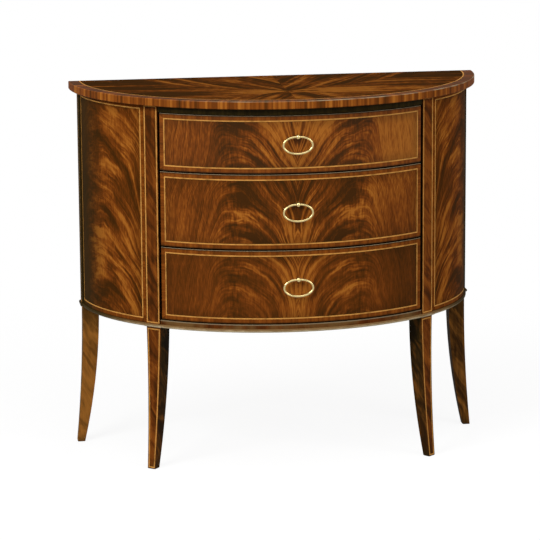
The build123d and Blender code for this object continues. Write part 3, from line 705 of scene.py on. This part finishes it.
class CHEST_OT_rails(bpy.types.Operator):
    """Finish the two rails across the front"""

    bl_idname = "chest.rails"
    bl_label = "Rails"

    def execute(self, context):
        solid = context.scene.chest_solid
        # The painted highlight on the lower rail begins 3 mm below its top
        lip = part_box("bottom_rail")[1].z - 3 * MM
        for name, colour in (("top", shades(solid.stained, 1.35)[0]), ("bottom", solid.body)):
            # The rail under the top is stained dark olive, partly as painted shadow of the top, the lower
            # one is as the posts are
            material, tree = new_material(f"Mahogany {name} rail, polished")
            node = partial(add_node, tree)
            bow = node("Group", CASE_PLAN, node_tree=pattern("Bow")).outputs
            bands = node("Group", {"Run": bow["Across"], "Seed": 7.0}, node_tree=pattern("Cross-banding"))
            stops = tuple(zip((0.2, 0.55, 0.9), shades(colour, 0.45, 0.8, 1.25)))
            wood = node("ValToRGB", (bands,), stops=stops)
            if name == "bottom":
                # Its polish is thin in places, and its upper arris has a grey painted highlight
                thin = clouds_over(tree, (90, 90, 90), 2.0)
                thin = node("MapRange", (thin, -0.05, 0.12, 0.0, 0.75), **SOFT)
                wood = node("Mix", {SHARE: thin, FROM: wood, TO: solid.worn}, data_type="RGBA")
                above = node("MapRange", (bow["Z"], lip, lip + 1 * MM, 0.0, 0.7))
                wood = {SHARE: above, FROM: wood, TO: solid.painted_highlight}
                wood = node("Mix", wood, data_type="RGBA")
            # Painted shade on faces turned in to the gaps
            wood = node("Mix", {SHARE: bow["Hidden"], FROM: wood, TO: solid.gap}, data_type="RGBA")
            polish(tree, wood, bands, film=0.06)
            dress(material, f"{name}_rail")
        return {"FINISHED"}


class CHEST_OT_bead(bpy.types.Operator):
    """Finish the bead round the foot of the case"""

    bl_idname = "chest.bead"
    bl_label = "Bead"

    def execute(self, context):
        solid = context.scene.chest_solid
        # Mahogany bead, greyish and pale at the middle and dark towards the wall; the pale is partly worn
        # polish in patches and partly painted reflection on its downward face
        material, tree = new_material("Mahogany bead, worn polish and painted reflection")
        node = partial(add_node, tree)
        bow = node("Group", CASE_PLAN, node_tree=pattern("Bow")).outputs
        patches = clouds_over(tree, (24, 24, 24), 2.0)
        # Painted reflection: the bead turns pale where it faces down, broken up in patches
        tilted = node("Math", (patches, 1.2, bow["Tilt"]), operation="MULTIPLY_ADD")
        worn = node("MapRange", (tilted, -0.5, 0.5, 1.0, 0.05), **SOFT)
        ends = node("Math", (bow["Across"],), operation="ABSOLUTE")
        ends = node("MapRange", (ends, 0.3, 0.55, 1.0, 0.1), **SOFT)
        share = node("Math", (worn, ends), operation="MULTIPLY")
        base = {SHARE: ends, FROM: solid.stained, TO: solid.worn}
        base = node("Mix", base, data_type="RGBA")
        pale = shades(solid.painted_highlight, 2.1)[0]
        wood = node("Mix", {SHARE: share, FROM: base, TO: pale}, data_type="RGBA")
        polish(tree, wood, patches, film=0.05)
        dress(material, "base_bead")
        return {"FINISHED"}


class CHEST_OT_light_lines(bpy.types.Operator):
    """Finish all the light lines as satinwood"""

    bl_idname = "chest.light_lines"
    bl_label = "Light lines"

    def execute(self, context):
        line = context.scene.chest_solid.line
        # Satinwood scraped flush and polished with the veneer: honey yellow, a little uneven along its run
        material, tree = new_material("Satinwood line, polished")
        node = partial(add_node, tree)
        patches = clouds_over(tree, (18, 18, 18), 2.0)
        tone = node("Math", (patches, 1.5, 0.5), operation="MULTIPLY_ADD")
        stops = tuple(zip((0.1, 0.5, 0.9), shades(line, 0.5, 1.0, 1.2)))
        polish(tree, node("ValToRGB", (tone,), stops=stops), patches, film=0.05)
        lines = ["top_stringing", "leg_stringing", "post_stringing"]
        lines += [f"{side}_panel_stringing" for side in SIDES]
        lines += [f"{name}_drawer_stringing" for name in DRAWERS]
        dress(material, *lines)
        return {"FINISHED"}


class CHEST_OT_inside_woods(bpy.types.Operator):
    """Finish the drawer boxes, the runners and boards inside, and the back"""

    bl_idname = "chest.inside_woods"
    bl_label = "Inside woods"

    def execute(self, context):
        solid = context.scene.chest_solid
        levels = ("upper", "lower")
        sides = [f"{name}_drawer_{side}_side" for name in DRAWERS for side in SIDES]
        backs = [f"{name}_drawer_{part}" for name in DRAWERS for part in ("back", "base")]
        runners = ["drawer_guides", "kickers", *(f"{level}_runners" for level in levels)]
        boards = ["bottom_board", "drawer_stops"]
        boards += [f"{level}_{part}" for level in levels for part in ("divider", "dust_board")]
        # Streaks 9 mm wide and 150 mm long, across the chest or from front to back
        crosswise, lengthwise = (150, 9, 9), (9, 150, 9)
        # Plain woods, straight in the grain: waxed ash, planed poplar, and poplar with a brown stain.
        # Each has its name, colour, pieces, roughness and run of the grain.
        woods = (
            ("Ash drawer sides, waxed", solid.lining, sides, 0.45, lengthwise),
            ("Ash drawer backs and bases, waxed", solid.lining, backs, 0.45, crosswise),
            ("Poplar runners, planed", solid.carcass, runners, 0.6, lengthwise),
            ("Poplar boards, planed", solid.carcass, boards, 0.6, crosswise),
            ("Poplar back board, stained", solid.back, ["back_panel"], 0.6, crosswise),
        )
        for name, body, pieces, roughness, streaks in woods:
            material, tree = new_material(name)
            node = partial(add_node, tree)
            grain = clouds_over(tree, streaks, 3.0)
            tone = node("Math", (grain, 1.6, 0.5), operation="MULTIPLY_ADD")
            stops = tuple(zip((0.15, 0.5, 0.85), shades(body, 0.68, 1.0, 1.2)))
            polish(tree, node("ValToRGB", (tone,), stops=stops), grain, 0.1, roughness)
            dress(material, *pieces)
        return {"FINISHED"}


class CHEST_OT_metalwork(bpy.types.Operator):
    """Finish the ring pulls in brass and the screws in steel"""

    bl_idname = "chest.metalwork"
    bl_label = "Metalwork"

    def execute(self, context):
        metal = context.scene.chest_metal
        brasses = [f"{name}_pull_{part}" for name in DRAWERS for part in ("post", "nut", "ring")]
        # Cast brass polished by hand: pale gold, softly clouded every few millimetres. Steel is duller.
        metals = (
            ("Cast brass, polished", metal.brass, metal.brass_roughness, brasses),
            ("Steel screw, bright", metal.steel, 0.35, ["back_screws", "top_screws"]),
        )
        for name, colour, roughness, pieces in metals:
            material, tree = new_material(name)
            node = partial(add_node, tree)
            cloud = clouds_over(tree, (9, 9, 9), 1.0)
            worn = node("MapRange", (cloud, -0.2, 0.2, roughness * 0.95, roughness * 1.1), **SOFT)
            dull = node("MapRange", (cloud, -0.05, 0.25, 0.0, 0.3), **SOFT)
            tarnish = {SHARE: dull, FROM: colour, TO: shades(colour, 0.7)[0]}
            tarnish = node("Mix", tarnish, data_type="RGBA")
            shader = node("BsdfPrincipled", {"Base Color": tarnish, "Metallic": 1.0, "Roughness": worn})
            node("OutputMaterial", {"Surface": shader})
            dress(material, *pieces)
        return {"FINISHED"}


# Stage
class CHEST_OT_stage(bpy.types.Operator):
    """Set up the floor, the soft lights and the camera"""

    bl_idname = "chest.stage"
    bl_label = "Studio"

    def execute(self, context):
        settings = context.scene.chest_stage
        self.lay_floor(context, settings)
        self.light_room(context, settings)
        self.place_camera(context, settings)
        context.scene.view_settings.view_transform = "Standard"
        return {"FINISHED"}

    def seen(self, tree):
        """One for rays from the camera, and for those that metal and glass send back to it."""
        rays = add_node(tree, "LightPath").outputs
        either = add_node(tree, "Math", (rays["Is Camera Ray"], rays["Is Glossy Ray"]), operation="MAXIMUM")
        return add_node(tree, "Math", (either, rays["Is Transmission Ray"]), operation="MAXIMUM")

    def lay_floor(self, context, settings):
        """White studio floor, bright to the camera, that takes the object's shadow near it."""
        half = settings.floor_size / 2
        corners = [(-half, -half, 0), (half, -half, 0), (half, half, 0), (-half, half, 0)]
        mesh = bpy.data.meshes.new("studio_floor")
        mesh.from_pydata(corners, [], [(0, 1, 2, 3)])
        floor = bpy.data.objects.new("studio_floor", mesh)
        context.scene.collection.objects.link(floor)
        material, tree = new_material("Studio paper, white")
        node = partial(add_node, tree)
        # Near the object part of the white is paper that shadows darken; further off all of it is glow
        away = node("VectorMath", (node("TexCoord").outputs["Object"],), operation="LENGTH").outputs["Value"]
        share = node("MapRange", (away, *SHADOW_REACH, settings.floor_shadow, 0.0), **SOFT)
        rest = node("Math", (1.0, share), operation="SUBTRACT")
        glow = node("Emission", {"Color": (1, 1, 1), "Strength": rest})
        paper = node("BsdfDiffuse", {"Color": node("CombineXYZ", (share, share, share))})
        bright = node("AddShader", (glow, paper))
        plain = node("BsdfDiffuse", {"Color": shades((1, 1, 1), settings.floor_bounce)[0]})
        above = node("MixShader", (self.seen(tree), plain, bright))
        # From below it is clear, so that the underside can be looked at
        under = node("NewGeometry").outputs["Backfacing"]
        node("OutputMaterial", {"Surface": node("MixShader", (under, above, node("BsdfTransparent")))})
        mesh.materials.append(material)

    def light_room(self, context, settings):
        """Even room light, with four large soft boxes that the camera doesn't see."""
        world = bpy.data.worlds.new("Studio room")
        world.use_nodes = True
        tree = world.node_tree
        tree.nodes.clear()
        strength = {SHARE: self.seen(tree), NUMBER_A: settings.room, NUMBER_B: 1.0}
        strength = add_node(tree, "Mix", strength, data_type="FLOAT")
        shade = add_node(tree, "Background", {"Color": (1, 1, 1), "Strength": strength})
        add_node(tree, "OutputWorld", {"Surface": shade})
        context.scene.world = world
        # Name, power, width and place of each
        boxes = (
            ("key", settings.key, 2.0, (-3.0, -2.6, 3.0)),
            ("fill", settings.fill, 2.0, (3.2, -2.8, 2.6)),
            ("overhead", settings.overhead, 2.4, (0.0, -1.2, 3.6)),
            # Below the level of the top, so that it leaves no sheen there
            ("behind", settings.behind, 0.9, (0.8, 3.4, 0.42)),
        )
        for name, power, size, at in boxes:
            lamp = bpy.data.lights.new(name, "AREA")
            lamp.shape = "SQUARE"
            lamp.size = size
            lamp.energy = power
            piece = bpy.data.objects.new(name, lamp)
            piece.visible_camera = False
            context.scene.collection.objects.link(piece)
            aim = (LAMP_AIM - Vector(at)).to_track_quat("-Z", "Y").to_matrix().to_4x4()
            piece.matrix_world = Matrix.Translation(at) @ aim

    def place_camera(self, context, settings):
        """Camera at the height and turn that the object is seen from."""
        lens = bpy.data.cameras.new("studio_camera")
        lens.sensor_width = 36.0
        lens.lens = settings.lens
        lens.clip_end = 100.0
        camera = bpy.data.objects.new("studio_camera", lens)
        context.scene.collection.objects.link(camera)
        turn = (
            Matrix.Rotation(-settings.yaw, 4, "Z")
            @ Matrix.Rotation(math.pi / 2 - settings.pitch, 4, "X")
            @ Matrix.Rotation(settings.roll, 4, "Z")
        )
        camera.matrix_world = Matrix.Translation(CAMERA_PLACE) @ turn
        context.scene.camera = camera


GROUPS = (
    ("chest_veneer", VeneerSettings),
    ("chest_solid", SolidSettings),
    ("chest_metal", MetalSettings),
    ("chest_stage", StageSettings),
)
STEPS = (
    CHEST_OT_top_board,
    CHEST_OT_top_border,
    CHEST_OT_drawer_fronts,
    CHEST_OT_side_panels,
    CHEST_OT_posts_and_legs,
    CHEST_OT_rails,
    CHEST_OT_bead,
    CHEST_OT_light_lines,
    CHEST_OT_inside_woods,
    CHEST_OT_metalwork,
    CHEST_OT_stage,
)


class CHEST_PT_finishes(bpy.types.Panel):
    """Finishes and studio of the chest"""

    bl_label = "Chest"
    bl_idname = "CHEST_PT_finishes"
    bl_space_type = "VIEW_3D"
    bl_region_type = "UI"
    bl_category = "Chest"

    def draw(self, context):
        for group, kind in GROUPS:
            column = self.layout.column(align=True)
            for name in kind.__annotations__:
                column.prop(getattr(context.scene, group), name)
        for piece in STEPS:
            self.layout.operator(piece.bl_idname)


def register():
    """Add the settings, the steps and the panel."""
    for name, group in GROUPS:
        bpy.utils.register_class(group)
        setattr(bpy.types.Scene, name, PointerProperty(type=group))
    for piece in (*STEPS, CHEST_PT_finishes):
        bpy.utils.register_class(piece)


def unregister():
    """Take them away again."""
    for piece in (CHEST_PT_finishes, *reversed(STEPS)):
        bpy.utils.unregister_class(piece)
    for name, group in reversed(GROUPS):
        delattr(bpy.types.Scene, name)
        bpy.utils.unregister_class(group)


def main():
    """Dress the whole chest."""
    register()
    for piece in STEPS:
        getattr(bpy.ops.chest, piece.bl_idname.split(".")[1])()


if __name__ == "__main__":
    main()
